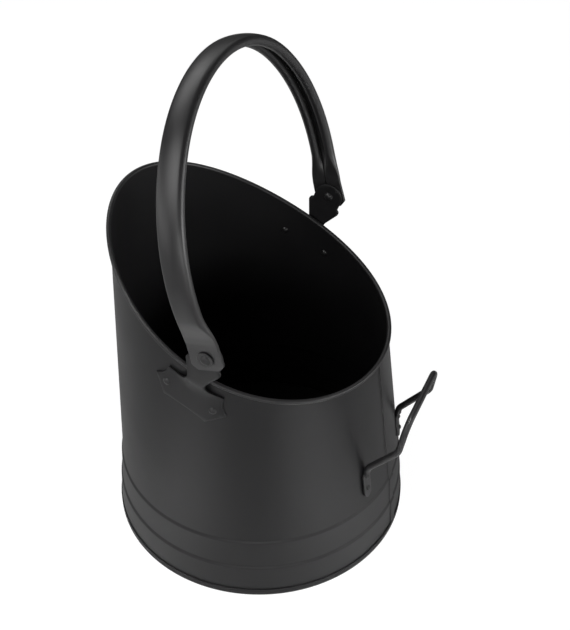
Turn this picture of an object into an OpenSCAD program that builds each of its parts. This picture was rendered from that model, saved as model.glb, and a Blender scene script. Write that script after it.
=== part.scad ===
// Coal scuttle: a round sheet-steel bucket with an oblique wired mouth, a bail of folded strip that
// swings in two riveted ears, and a rod handle low on the back for tipping it.
//
// The origin is on the ground at the centre of the foot, with +Z up. The pouring lip faces -Y, the
// tipping handle +Y, and the bail swings about an axis along X. Right is +X.

/* [Foot] */
// Outside radius of the folded seam that the scuttle stands on
foot_r = 140; // [115:1:170]
// Height of that seam
foot_seam_h = 7; // [5:0.5:8]
// Height of the floor's underside above the ground
floor_z = 9; // [9:0.5:20]
// Inside radius of the bend between the floor and its flange
floor_bend_r = 2; // [1:0.5:5]
// Height of the lower swage's step
low_swage_z = 35; // [24:1:45]
// Height of the upper swage's step, where the leaning wall starts
high_swage_z = 67; // [54:1:85]
// How far the wall steps in at each swage
swage_step = 1.5; // [0.6:0.1:2.4]
// Height that each step takes
swage_h = 2; // [1:0.1:4]
// Taper of the two bands under the upper swage, in degrees
foot_taper = 3.2; // [0:0.1:5]

/* [Wall] */
// Thickness of the body's steel sheet
sheet_t = 1; // [0.8:0.1:1.4]
// Taper of the wall above the upper swage, in degrees
wall_taper = 4.9; // [0:0.1:9]
// Lean of that wall towards the lip, in degrees
wall_lean = 2.4; // [0:0.1:6]
// Width of the lock seam down the back
lock_seam_w = 9; // [6:0.5:12]
// How far the lock seam stands proud of the wall
lock_seam_t = 0.9; // [0.6:0.1:1.5]

/* [Mouth] */
// Height of the mouth's edge midway between lip and back
mouth_z = 245; // [200:1:310]
// Slope of the mouth there, in degrees down towards the back
mouth_slope = 25.9; // [15:0.1:32]
// Radius of the hollow curve that the mouth follows from the side
mouth_curve_r = 555; // [420:5:900]
// Diameter of the wire in the rolled edge
rim_wire_d = 2; // [1.6:0.1:4]

/* [Ears] */
// Where the ear crosses the mouth's edge, behind the centre
ear_y = 4.6; // [-10:0.1:20]
// Lean of the ear towards the back, in degrees
ear_lean = 21.8; // [0:0.1:35]
// Thickness of the ear's plate
ear_t = 1.8; // [1.2:0.1:2.5]
// Depth of the rivets below the mouth's edge, along the ear
ear_drop = 26.6; // [24:0.1:36]
// Height of the bail's pivot above the mouth's edge, along the ear
ear_rise = 30.4; // [24:0.1:45]
// Gap between the rolled edge and the ear's tab
ear_clear = 2.3; // [0.5:0.1:4]
// Distance between the two rivets
ear_rivet_pitch = 43.8; // [34:0.2:50]
// Radius of the ear's round top
ear_head_r = 13; // [10:0.5:14]
// Width across the shoulders under the round top
ear_shoulder_w = 32; // [28:0.5:36]
// Width of the waist that crosses the rolled edge
ear_waist_w = 17; // [14:0.5:22]
// Width across the tips of the wings
ear_wing_w = 67.6; // [62:0.5:80]
// Width across the upper points of the wings
ear_cusp_w = 51.2; // [48:0.5:56]
// Width across the lower corners
ear_foot_w = 41; // [30:0.5:48]
// Depth of the lower corners below the rivets' line
ear_heel_drop = 14.5; // [12:0.5:18]
// Depth of the shoulders below the pivot
ear_shoulder_drop = 12.5; // [11:0.1:14]

/* [Bail] */
// Lean of the bail towards the lip at rest, in degrees
bail_lean = 13.8; // [0:0.1:30]
// Width of the rolled strip
bail_w = 22.8; // [20:0.2:28]
// Outside radius of the tubes rolled along its edges
bail_tube_r = 4.5; // [3.4:0.1:4.8]
// How far its outer face rises above those tubes
bail_crown = 0.9; // [0.5:0.1:1.6]
// Thickness of its sheet
bail_sheet_t = 1.2; // [0.8:0.1:1.6]
// Width of the crushed ends round the pivot
bail_end_w = 29; // [27:0.5:32]
// Width of the crushed ends where the tubes start
bail_neck_w = 26.6; // [24:0.2:29]
// Thickness of the crushed ends
bail_end_t = 3; // [2.4:0.1:4]
// How far the crushed ends reach below the pivot
bail_tail = 11; // [8:0.1:13]
// Size of their cut corners
bail_corner = 5; // [2:0.1:6]
// Height above the pivot at which an end bends outwards
bail_bend_s = 14; // [14:0.5:20]
// Height above the pivot at which the crushed end stops
bail_crush_s = 30.5; // [24:0.5:40]
// Length over which the tubes are drawn down to the crushed end
bail_crush_len = 5; // [4:0.5:9]
// Width of the slit where the crushed tubes meet
bail_slit_w = 1.5; // [0.8:0.1:3]
// Angle of that outward bend, in degrees
bail_splay = 8; // [4:0.1:14]
// Radius of the arch's sides
bail_side_r = 152; // [140:1:200]
// Angle up the sides at which the top of the arch starts
bail_shoulder = 43.5; // [30:0.5:60]

/* [Tipping handle] */
// Diameter of the rod
rod_d = 6; // [5:0.1:8]
// Width of the grip, between the middles of its two corners
grip_w = 76.8; // [72:0.2:110]
// Height of the grip above the ground
grip_z = 175.8; // [165:0.1:195]
// Gap for the fingers between the grip and the wall
grip_gap = 33.8; // [30:0.1:45]
// Distance between the middles of the knees, where the two legs turn up
knee_w = 86.8; // [80:0.2:110]
// Height of the knees above the ground
knee_z = 145.4; // [138:0.1:155]
// Gap between the knees and the wall
knee_gap = 25.2; // [20:0.1:30]
// Angle from the middle of the back to each pad
pad_angle = 18.3; // [16:0.1:22]
// Width of the flattened pads
pad_w = 10; // [8:0.1:13]
// Thickness of the flattened pads
pad_t = 2.8; // [2:0.1:3.6]
// Height of a pad's lower rivet above the ground
pad_rivet_z = 88.2; // [88:0.1:100]
// Distance between a pad's two rivets
pad_rivet_pitch = 13.6; // [10:0.1:15]
// Inside radius of the bends at the grip's corners
grip_bend_r = 7; // [4:0.5:9]
// Inside radius of the bends at the knees
knee_bend_r = 6; // [4:0.5:12]
// Inside radius of the bends where the legs leave the pads
leg_bend_r = 8; // [6:0.5:12]

/* [Rivets] */
// Shank diameter of the ear rivets
ear_rivet_d = 5; // [4:0.1:6]
// Head diameter of the ear rivets
ear_rivet_head_d = 6.8; // [6.4:0.1:9]
// Head height of the ear rivets and the tipping handle's rivets
rivet_head_h = 1.8; // [1.2:0.1:2.4]
// Shank diameter of the pivot rivets
pivot_d = 6; // [5:0.1:7]
// Head diameter of the pivot rivets
pivot_head_d = 8.6; // [7.6:0.1:11]
// Head height of the pivot rivets
pivot_head_h = 2.2; // [1.6:0.1:3.2]
// Diameter of the washers under the pivot rivets' heads
washer_d = 14; // [12:0.5:18]
// Thickness of those washers
washer_t = 1.2; // [0.8:0.1:2]
// Shank diameter of the tipping handle's rivets
pad_rivet_d = 3.4; // [3:0.1:4]
// Head diameter of the tipping handle's rivets
pad_rivet_head_d = 4.8; // [4.6:0.1:7]

/* [Clearances] */
// Gap left between sheets and in rivet holes
fit_gap = 0.05; // [0.02:0.01:0.09]
// Gap on each side of the bail's ends, so that it swings
swing_gap = 0.3; // [0.2:0.05:0.8]

/* [Hidden] */
$fn = 64;
BODY_FN = 180;
CURVE_FN = 720;
BIG = 400;
// Bent stretches join inside one another: one reaches "lap" into the next, which is "nest" thinner
lap = 0.4;
nest = 0.04;

charcoal = [0.21, 0.21, 0.22];
dark = [0.15, 0.15, 0.16];
edge_grey = [0.28, 0.28, 0.29];
rivet_grey = [0.25, 0.25, 0.26];

// Foot: radii of the wall's outside, from the seam up to the start of the leaning wall
wall_foot_r = foot_r - sheet_t - fit_gap;
band_slope = tan(foot_taper);
low_band_top_r = wall_foot_r - (low_swage_z - swage_h / 2 - foot_seam_h) * band_slope;
high_band_foot_r = low_band_top_r - swage_step;
high_band_top_r = high_band_foot_r - (high_swage_z - low_swage_z - swage_h * 3 / 2) * band_slope;
wall_r = high_band_top_r - swage_step;

// Leaning wall: a right cone about an axis that leans to the lip, centred on the foot's top circle
wall_slope = tan(wall_taper);
lean_shift = -wall_r * tan(wall_lean) * wall_slope;

// Mouth: a circle seen along X, whose lower side cuts the wall
mouth_centre_y = mouth_curve_r * sin(mouth_slope);
mouth_centre_z = mouth_z + mouth_curve_r * cos(mouth_slope);

// Rolled edge, measured from the wall's outside along its normal and up the wall
roll_hole_r = rim_wire_d / 2 + fit_gap;
roll_r = roll_hole_r + sheet_t;
roll_out = roll_r - sheet_t;
roll_up = 0.5;
RIM_STATIONS = 96;

// Ears: the rivets' line crosses the ear's middle at ear_foot
ear_axis = [sin(ear_lean), cos(ear_lean)];
ear_cross = [ear_y, mouth_height(ear_y)];
ear_foot = ear_cross - ear_drop * ear_axis;
ear_len = ear_drop + ear_rise;
// Height of the wings' upper points over the rivets' line, and of their tips
ear_wing_top = 16.2;
ear_tip_h = 0.3;
// Radius of the hollows between the waist and the wings
ear_scoop_r = 9;
// How far below the mouth's edge the ramp meets the tab, and how far the wings run up under the ramp
ramp_drop = 4;
wing_lap = 2.8;
pivot = ear_foot + ear_len * ear_axis;
tab_in_x = wall_x(ear_cross[0], ear_cross[1]) + roll_out + roll_r + ear_clear;
tab_out_x = tab_in_x + ear_t;

// Bail: crushed ends against the ears, then the arch
bail_in_x = tab_out_x + swing_gap;
bail_out_x = bail_in_x + bail_end_t;
washer_x = bail_out_x + swing_gap;
pivot_grip = washer_x + washer_t - tab_in_x;
pivot_r = pivot_d / 2;
pivot_head_r = pivot_head_d / 2;

function mouth_height(y) =
    mouth_centre_z - sqrt(mouth_curve_r ^ 2 - (y - mouth_centre_y) ^ 2);

// The leaning wall's own frame: height along its axis, and back to the scuttle's frame
function to_leaned(p) =
    let (y = p[1] - lean_shift, z = p[2] - high_swage_z)
    [p[0], y * cos(wall_lean) + z * sin(wall_lean), z * cos(wall_lean) - y * sin(wall_lean)];
function from_leaned(p) =
    [p[0],
     lean_shift + p[1] * cos(wall_lean) - p[2] * sin(wall_lean),
     high_swage_z + p[1] * sin(wall_lean) + p[2] * cos(wall_lean)];

function cone_r(h) = wall_r - h * wall_slope;

// Outside of the leaning wall, for a place seen from the side
function wall_x(y, z) =
    let (p = to_leaned([0, y, z]))
    sqrt(cone_r(p[2]) ^ 2 - p[1] ^ 2);
function wall_angle(y, z) =
    let (p = to_leaned([0, y, z]))
    asin(p[1] / cone_r(p[2]));

// Height in the leaned frame at which the wall's outside reaches the level z, at an angle from +X
function leaned_height(angle, z) =
    (z - high_swage_z - wall_r * sin(angle) * sin(wall_lean))
    / (cos(wall_lean) - wall_slope * sin(angle) * sin(wall_lean));

// Directions out of the leaning wall and up it, at an angle round its axis
function wall_normal(angle) =
    from_leaned([cos(wall_taper) * cos(angle), cos(wall_taper) * sin(angle), sin(wall_taper)])
    - from_leaned([0, 0, 0]);
function wall_up(angle) =
    from_leaned([-sin(wall_taper) * cos(angle), -sin(wall_taper) * sin(angle), cos(wall_taper)])
    - from_leaned([0, 0, 0]);

function unit(v) = v / norm(v);

// Sets children down in the leaned frame
module leaned() {
    translate([0, lean_shift, high_swage_z])
        rotate([wall_lean, 0, 0])
            children();
}

// Sets children on the leaning wall's outside, with +Z outwards and +X down the wall
module on_wall(angle, h) {
    leaned()
        rotate([0, 0, angle])
            translate([cone_r(h), 0, h])
                rotate([0, 90 - wall_taper, 0])
                    children();
}

// A solid cone that stands "out" millimetres off the leaning wall's outside
module wall_cone(out) {
    bottom_h = -0.15 * wall_r;
    top_h = mouth_height(-foot_r) - high_swage_z;
    leaned()
        translate([0, 0, bottom_h])
            cylinder(h = top_h - bottom_h, r1 = cone_r(bottom_h) + out, r2 = cone_r(top_h) + out,
                     $fn = BODY_FN);
}

// All that lies above the mouth's curve, lowered by "drop"
module above_mouth(drop = 0) {
    translate([-BIG / 2, mouth_centre_y, mouth_centre_z - drop])
        rotate([0, 90, 0])
            cylinder(h = BIG, r = mouth_curve_r, $fn = CURVE_FN);
}

module below(z) {
    translate([-BIG / 2, -BIG / 2, z - BIG])
        cube(BIG);
}

// Outside of the wall below the leaning wall, as radius and height: its last slope, the upper
// swage's step, runs on into the leaning wall
foot_outline = [
    [wall_foot_r, 0],
    [wall_foot_r, foot_seam_h],
    [low_band_top_r, low_swage_z - swage_h / 2],
    [high_band_foot_r, low_swage_z + swage_h / 2],
    [high_band_top_r, high_swage_z - swage_h],
    [wall_r - swage_step, high_swage_z + swage_h],
];

// The wall's form filled in, "out" millimetres off its outside
module wall_form(out) {
    rotate_extrude($fn = BODY_FN)
        polygon(concat([[0, 0]], [for (p = foot_outline) p + [out, 0]], [[0, high_swage_z + swage_h]]));
    difference() {
        wall_cone(out);
        below(high_swage_z - swage_h / 2);
    }
}

module lock_seam() {
    half_angle = asin(lock_seam_w / 2 / wall_r);
    intersection() {
        difference() {
            wall_form(lock_seam_t);
            wall_form(-sheet_t / 2);
            below(foot_seam_h + fit_gap);
            above_mouth(2 * roll_r);
        }
        rotate_extrude(angle = 2 * half_angle, start = 90 - half_angle, $fn = BODY_FN)
            square([BIG, BIG]);
    }
}

module body_wall() {
    color(charcoal)
        difference() {
            union() {
                difference() {
                    wall_form(0);
                    wall_form(-sheet_t);
                    below(sheet_t + fit_gap);
                    above_mouth();
                }
                lock_seam();
            }
            for (side = [-1, 1])
                for (end = [-1, 1]) {
                    ear_rivet_place(side, end) rivet_hole(ear_rivet_d);
                    handle_rivet_place(side, end) rivet_hole(pad_rivet_d);
                }
        }
}

// The floor: a pan set up inside the foot, its flange folded under the wall's edge and up outside it
module base_pan() {
    flange_r = wall_foot_r - sheet_t - fit_gap;
    bend_r = floor_bend_r + sheet_t;
    color(dark)
        rotate_extrude($fn = BODY_FN) {
            translate([0, floor_z])
                square([flange_r - bend_r, sheet_t]);
            translate([flange_r - bend_r, floor_z + sheet_t - bend_r])
                intersection() {
                    difference() {
                        circle(bend_r);
                        circle(floor_bend_r);
                    }
                    square(bend_r);
                }
            translate([flange_r - sheet_t, sheet_t])
                square([sheet_t, floor_z - bend_r]);
            translate([flange_r, 0])
                square([foot_r - sheet_t - flange_r, sheet_t]);
            for (r = [flange_r, foot_r - sheet_t])
                translate([r, sheet_t])
                    intersection() {
                        circle(sheet_t);
                        translate([r == flange_r ? -sheet_t : 0, -sheet_t])
                            square(sheet_t);
                    }
            translate([foot_r - sheet_t, sheet_t])
                square([sheet_t, foot_seam_h - sheet_t]);
        }
}

// Where the mouth's curve cuts the cone "out" millimetres off the wall's outside, at an angle
// round the leaned axis: each turn of the search steps to the mouth's height over the last point
function rim_point(angle, out = 0, h = 160, turns = 8) =
    let (r = cone_r(h) + out, p = from_leaned([r * cos(angle), r * sin(angle), h]))
    turns == 0 ? p
    : rim_point(angle, out, h + (mouth_height(p[1]) - p[2]) / cos(wall_lean), turns - 1);

// Along the edge and up the wall, at an angle
function rim_along(angle) = unit(rim_point(angle + 0.5) - rim_point(angle - 0.5));
function rim_up(angle) = unit(cross(wall_normal(angle), rim_along(angle)));

function roll_centre(angle) = rim_point(angle) + roll_out * wall_normal(angle) + roll_up * rim_up(angle);
function roll_ring(angle, r, turns) =
    [for (t = turns) roll_centre(angle) + r * (cos(t) * wall_normal(angle) + sin(t) * rim_up(angle))];

// A closed tube through rings of points, one ring at each station round the mouth
module rim_sweep(rings) {
    n = len(rings);
    m = len(rings[0]);
    polyhedron(
        points = [for (ring = rings) each ring],
        faces = [
            for (i = [0 : n - 1], j = [0 : m - 1])
                let (i2 = (i + 1) % n, j2 = (j + 1) % m)
                each [[i * m + j, i * m + j2, i2 * m + j2], [i * m + j, i2 * m + j2, i2 * m + j]]
        ]
    );
}

rim_angles = [for (i = [0 : RIM_STATIONS - 1]) i * 360 / RIM_STATIONS];

// The wall's edge, rolled from its inside over the top, outwards and back under the wire
module rim_roll() {
    wrap = [180 : -25 : -120];
    unwrap = [-120 : 25 : 180];
    color(edge_grey)
        rim_sweep([
            for (a = rim_angles)
                concat(
                    [rim_point(a, -sheet_t) + fit_gap * rim_up(a)],
                    roll_ring(a, roll_r, wrap),
                    roll_ring(a, roll_hole_r, unwrap),
                    [rim_point(a) + fit_gap * rim_up(a)]
                )
        ]);
}

module rim_wire() {
    color(rivet_grey)
        rim_sweep([for (a = rim_angles) roll_ring(a, rim_wire_d / 2, [0 : -45 : -315])]);
}

// Sets an outline down in the ear's plane: its X across the ear, its Y up the ear, +Z outwards
module in_ear_plane() {
    translate([0, ear_foot[0], ear_foot[1]])
        rotate([-ear_lean, 0, 0])
            rotate([90, 0, 90])
                children();
}

// Middle of the circle of radius r through a and b that lies to the right of the way from a to b
function arc_centre(a, b, r) =
    let (way = b - a, half = norm(way) / 2)
    (a + b) / 2 + sqrt(r ^ 2 - half ^ 2) * unit([way[1], -way[0]]);

module ear_outline() {
    cusp = [ear_cusp_w / 2, ear_wing_top];
    tip = [ear_wing_w / 2, ear_tip_h];
    heel = [ear_foot_w / 2, -ear_heel_drop];
    shoulder_r = 2;
    shoulder = [ear_shoulder_w / 2, ear_len - ear_shoulder_drop];
    scoop_r = ear_scoop_r;
    waist = [ear_waist_w / 2, cusp[1] + scoop_r];
    flare = shoulder - waist;
    flare_r = (flare * flare) / (2 * flare[0]);
    wing_hollow_r = 19;
    foot_hollow = 3;
    foot_hollow_r = (heel[0] ^ 2 + foot_hollow ^ 2) / (2 * foot_hollow);
    // The round top, on short straight sides
    translate([0, ear_len])
        circle(ear_head_r);
    translate([-ear_head_r, shoulder[1]])
        square([2 * ear_head_r, ear_len - shoulder[1]]);
    for (side = [-1, 1])
        translate([side * (shoulder[0] - shoulder_r), shoulder[1]])
            circle(shoulder_r);
    // The shoulders, the neck and the two wings, hollowed along their free edges
    difference() {
        polygon([
            [shoulder[0] - shoulder_r, shoulder[1] + shoulder_r], shoulder,
            [waist[0] + scoop_r, waist[1]], [waist[0] + scoop_r, cusp[1]], cusp, tip, heel,
            [-heel[0], heel[1]], [-tip[0], tip[1]], [-cusp[0], cusp[1]],
            [-waist[0] - scoop_r, cusp[1]], [-waist[0] - scoop_r, waist[1]],
            [-shoulder[0], shoulder[1]], [shoulder_r - shoulder[0], shoulder[1] + shoulder_r]
        ]);
        for (side = [0, 1])
            mirror([side, 0]) {
                intersection() {
                    translate([waist[0] + flare_r, waist[1]])
                        circle(flare_r, $fn = BODY_FN);
                    translate(waist)
                        square([flare_r, flare[1]]);
                }
                translate([waist[0] + scoop_r, waist[1]])
                    circle(scoop_r);
                translate(arc_centre(tip, cusp, wing_hollow_r))
                    circle(wing_hollow_r, $fn = BODY_FN);
            }
        translate([0, heel[1] + foot_hollow - foot_hollow_r])
            circle(foot_hollow_r, $fn = BODY_FN);
    }
}

// The right ear: wings curved to the wall, a ramp out over the rolled edge, and a flat tab
module right_ear() {
    ramp_top = ear_drop - ramp_drop;
    ramp_w = ear_waist_w + 2 * (ear_scoop_r - sqrt(ear_scoop_r ^ 2 - (ear_scoop_r - wing_lap) ^ 2)) + lap;
    ramp_foot = ear_foot + ear_wing_top * ear_axis;
    ramp_in_x = wall_x(ramp_foot[0], ramp_foot[1]) + fit_gap;
    difference() {
        union() {
            intersection() {
                in_ear_plane()
                    linear_extrude(BIG)
                        intersection() {
                            ear_outline();
                            translate([-BIG / 2, ear_wing_top + wing_lap - BIG])
                                square(BIG);
                        }
                difference() {
                    wall_cone(fit_gap + ear_t);
                    wall_cone(fit_gap);
                }
            }
            intersection() {
                in_ear_plane()
                    linear_extrude(BIG)
                        intersection() {
                            ear_outline();
                            union() {
                                translate([-ramp_w / 2, 0])
                                    square([ramp_w, ramp_top]);
                                translate([-BIG / 2, ramp_top - 1])
                                    square(BIG);
                            }
                        }
                translate([0, ear_foot[0], ear_foot[1]])
                    rotate([-ear_lean, 0, 0])
                        translate([0, BIG / 2, 0])
                            rotate([90, 0, 0])
                                linear_extrude(BIG)
                                    polygon([
                                        [ramp_in_x, ear_wing_top], [tab_in_x, ramp_top],
                                        [tab_in_x, ear_len + BIG / 2], [tab_out_x, ear_len + BIG / 2],
                                        [tab_out_x, ramp_top - ear_t / 2],
                                        [ramp_in_x + ear_t, ear_wing_top - 0.5],
                                        [ramp_in_x, ear_wing_top - 0.5]
                                    ]);
            }
        }
        for (end = [-1, 1])
            ear_rivet_place(1, end) rivet_hole(ear_rivet_d);
        pivot_bore(pivot_r + fit_gap);
    }
}

module ear(side) {
    color(charcoal)
        mirror([side < 0 ? 1 : 0, 0, 0])
            right_ear();
}

module pivot_bore(r) {
    translate([0, pivot[0], pivot[1]])
        rotate([0, 90, 0])
            cylinder(h = BIG, r = r);
}

// A domed rivet head on the plane z = 0
module rivet_head(r, h) {
    ball_r = (r ^ 2 + h ^ 2) / (2 * h);
    intersection() {
        translate([0, 0, h - ball_r])
            sphere(ball_r);
        cylinder(h = h, r = r);
    }
}

// A rivet whose outer head sits "seat" above the wall's outside; the inner head clears the
// hollow side of the wall by the hollow's depth under it
module wall_rivet(d, head_d, seat) {
    hollow = (head_d / 2) ^ 2 / wall_r;
    inner = -sheet_t - fit_gap - hollow;
    translate([0, 0, inner])
        cylinder(h = seat - inner, r = d / 2);
    translate([0, 0, seat])
        rivet_head(head_d / 2, rivet_head_h);
    translate([0, 0, inner])
        mirror([0, 0, 1])
            rivet_head(head_d / 2, rivet_head_h);
}

module rivet_hole(d) {
    translate([0, 0, -5 * sheet_t])
        cylinder(h = 5 * (sheet_t + ear_t), r = d / 2 + fit_gap);
}

// Ear rivet places: side -1 left or 1 right, end -1 front or 1 rear
module ear_rivet_place(side, end) {
    place = ear_foot + end * ear_rivet_pitch / 2 * [cos(ear_lean), -sin(ear_lean)];
    angle = wall_angle(place[0], place[1]);
    mirror([side < 0 ? 1 : 0, 0, 0])
        on_wall(angle, to_leaned([0, place[0], place[1]])[2])
            children();
}

module ear_rivet(side, end) {
    color(rivet_grey)
        ear_rivet_place(side, end)
            wall_rivet(ear_rivet_d, ear_rivet_head_d, fit_gap + ear_t + fit_gap);
}

module pivot_rivet(side) {
    color(rivet_grey)
        mirror([side < 0 ? 1 : 0, 0, 0])
            translate([tab_in_x, pivot[0], pivot[1]])
                rotate([0, 90, 0]) {
                    cylinder(h = pivot_grip, r = pivot_r);
                    translate([0, 0, pivot_grip])
                        rivet_head(pivot_head_r, pivot_head_h);
                    mirror([0, 0, 1])
                        rivet_head(pivot_head_r, pivot_head_h);
                }
}

module pivot_washer(side) {
    color(rivet_grey)
        mirror([side < 0 ? 1 : 0, 0, 0])
            translate([washer_x, pivot[0], pivot[1]])
                rotate([0, 90, 0])
                    difference() {
                        cylinder(h = washer_t, r = washer_d / 2);
                        translate([0, 0, -1])
                            cylinder(h = washer_t + 2, r = pivot_r + fit_gap);
                    }
}

// Bail: its arch in the plane through the pivots, from the right end up to the middle of the top.
// The arch's line runs through the middles of the rolled tubes and along the crushed ends' outside.
bail_tube_y = bail_w / 2 - bail_tube_r;
bail_crown_h = bail_tube_r + bail_crown;
bail_crown_r = (bail_tube_y ^ 2 + bail_crown_h ^ 2 - bail_tube_r ^ 2) / (2 * bail_crown);
crushed_len = bail_crush_s - bail_bend_s;
splay_up = [sin(bail_splay), cos(bail_splay)];
splay_out = [cos(bail_splay), -sin(bail_splay)];
leg_foot = [bail_in_x, bail_bend_s];
leg_end = leg_foot + crushed_len * splay_up + bail_end_t * splay_out;
side_centre = leg_end - bail_side_r * splay_out;
shoulder_point = side_centre + bail_side_r * [cos(bail_shoulder), sin(bail_shoulder)];
top_r = shoulder_point[0] / cos(bail_shoulder);
top_centre = [0, shoulder_point[1] - top_r * sin(bail_shoulder)];
crush_angle = bail_crush_len / bail_side_r * 180 / PI;
lap_angle = lap / bail_side_r * 180 / PI;
// How far the drawn-down stretch lies inside the outlines that it joins
crush_step = 0.3;

// The strip's cross-section: X is out of the arch, from the middles of the tubes, Y across the strip
module bail_tubes(r) {
    for (side = [-1, 1])
        translate([0, side * bail_tube_y])
            circle(r, $fn = 32);
}

// All between the crown, "inset" inside its outside, and the level "foot"; its arc meets both tubes'
// arcs square on
module bail_cap(inset, foot) {
    r = bail_crown_r - inset;
    reach = bail_tube_y * r / (bail_crown_r - bail_tube_r);
    intersection() {
        translate([bail_crown_h - bail_crown_r, 0])
            circle(r, $fn = BODY_FN);
        translate([foot, -reach])
            square([2 * bail_crown_h, 2 * reach]);
    }
}

module bail_outline(inset) {
    bail_tubes(bail_tube_r - inset);
    bail_cap(inset, 0);
}

// The tubes' free edges stop short of the crown, with an open groove between the tubes
module bail_section(inset) {
    hollow = bail_sheet_t - inset;
    free_edge = bail_crown_h - 2 * bail_sheet_t;
    difference() {
        bail_outline(inset);
        bail_tubes(bail_tube_r - hollow);
        difference() {
            bail_cap(hollow, -1);
            intersection() {
                bail_tubes(bail_tube_r - inset);
                translate([-2, -bail_w / 2])
                    square([2 + free_edge, bail_w]);
            }
        }
    }
}

module bail_arc(centre, r, from, to, inset) {
    translate([centre[0], 0, centre[1]])
        rotate([90, 0, 0])
            rotate_extrude(start = from, angle = to - from, $fn = BODY_FN)
                translate([r, 0])
                    bail_section(inset);
}

// Sets a slice down across the side's arc at an angle, its X out of the arch
module on_side_arc(angle) {
    translate([side_centre[0], 0, side_centre[1]])
        rotate([0, -angle, 0])
            translate([bail_side_r, 0, 0])
                children();
}

// A point of the side's arc, "out" millimetres off it
function side_point(angle, out) = side_centre + (bail_side_r + out) * [cos(angle), sin(angle)];

// An outline of points across and up, drawn through the strip's width w
module bail_plate(points, w) {
    rotate([90, 0, 0])
        linear_extrude(w, center = true)
            polygon(points);
}

// The crushed end from the side: wider towards the pivot, its two lower corners cut off
module bail_end_outline() {
    end_r = bail_end_w / 2;
    neck_r = bail_neck_w / 2;
    polygon([
        [-neck_r, bail_crush_s], [-end_r, bail_corner - bail_tail], [bail_corner - end_r, -bail_tail],
        [end_r - bail_corner, -bail_tail], [end_r, bail_corner - bail_tail], [neck_r, bail_crush_s]
    ]);
}

module bail_end() {
    knee_s = bail_bend_s - bail_end_t * tan(bail_splay / 2);
    slit_x = bail_in_x + bail_end_t / 2;
    slit_end = leg_foot + crushed_len * splay_up + bail_end_t / 2 * splay_out;
    groove_end = side_point(crush_angle - bail_splay, bail_crown_h - bail_sheet_t) + lap * [0, 1];
    far_in = bail_in_x - 2 * bail_tube_r;
    difference() {
        union() {
            intersection() {
                bail_plate([
                    [bail_in_x, -bail_tail - 1], [bail_out_x, -bail_tail - 1], [bail_out_x, knee_s],
                    leg_end, leg_foot + crushed_len * splay_up, leg_foot
                ], bail_end_w + 2);
                rotate([90, 0, 90])
                    linear_extrude(BIG)
                        bail_end_outline();
            }
            hull() {
                on_side_arc(-bail_splay)
                    translate([crush_step - bail_end_t, crush_step - bail_neck_w / 2, -2 * lap])
                        cube([bail_end_t - 2 * crush_step, bail_neck_w - 2 * crush_step, lap]);
                on_side_arc(crush_angle - bail_splay)
                    linear_extrude(lap)
                        bail_outline(crush_step);
            }
        }
        bail_plate([
            [far_in, -bail_tail - 1], [slit_x, -bail_tail - 1], [slit_x, bail_bend_s],
            slit_end, groove_end, [far_in, groove_end[1]]
        ], bail_slit_w);
        rotate([0, 90, 0])
            cylinder(h = BIG, r = pivot_r + fit_gap);
    }
}

module bail() {
    color(charcoal)
        translate([0, pivot[0], pivot[1]])
            rotate([bail_lean, 0, 0]) {
                for (side = [0, 1])
                    mirror([side, 0, 0]) {
                        bail_end();
                        bail_arc(side_centre, bail_side_r, crush_angle - bail_splay, bail_shoulder, 0);
                    }
                bail_arc(top_centre, top_r, bail_shoulder - lap_angle, 180 - bail_shoulder + lap_angle, nest);
            }
}

// Tipping handle: the right side, from its pad by the elbow and the knee to the grip's corner
rod_r = rod_d / 2;
right_pad_angle = 90 - pad_angle;
elbow = rod_place(right_pad_angle, pad_rivet_z + pad_rivet_pitch + 10);
knee = behind_wall(knee_w / 2, knee_gap, knee_z);
corner = behind_wall(grip_w / 2, grip_gap, grip_z);
leg_way = unit(knee - elbow);
rise_way = unit(corner - knee);

// The rod's middle where it stands a gap off the back of the wall, at a level
function behind_wall(x, gap, z) = [x, rod_place(90, z)[1] + gap, z];

// The rod's middle where it lies against the wall, at an angle and a level
function rod_place(angle, z) =
    let (h = leaned_height(angle, z), r = cone_r(h))
    from_leaned([r * cos(angle), r * sin(angle), h]) + (rod_r + fit_gap) * wall_normal(angle);

// How far from a corner its bend begins
function bend_len(from, to, r) = r * tan(acos(from * to) / 2);

// Sets children down with their axes along ex, ey and ez
module in_frame(at, ex, ey, ez) {
    multmatrix([for (i = [0 : 2]) [ex[i], ey[i], ez[i], at[i]]])
        children();
}

// A straight stretch, which laps the bends at both its ends
module rod(a, b) {
    way = unit(b - a);
    side = unit(cross([0, 0, 1], way));
    in_frame(a - lap * way, side, cross(way, side), way)
        cylinder(h = norm(b - a) + 2 * lap, r = rod_r);
}

// The rod's bend round a corner, from one direction to another
module rod_bend(at, from, to, r) {
    angle = acos(from * to);
    middle = at + r / cos(angle / 2) * unit(to - from);
    out = unit(at - bend_len(from, to, r) * from - middle);
    in_frame(middle, out, from, cross(out, from))
        rotate_extrude(angle = angle)
            translate([r, 0])
                circle(rod_r - nest);
}

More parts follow.
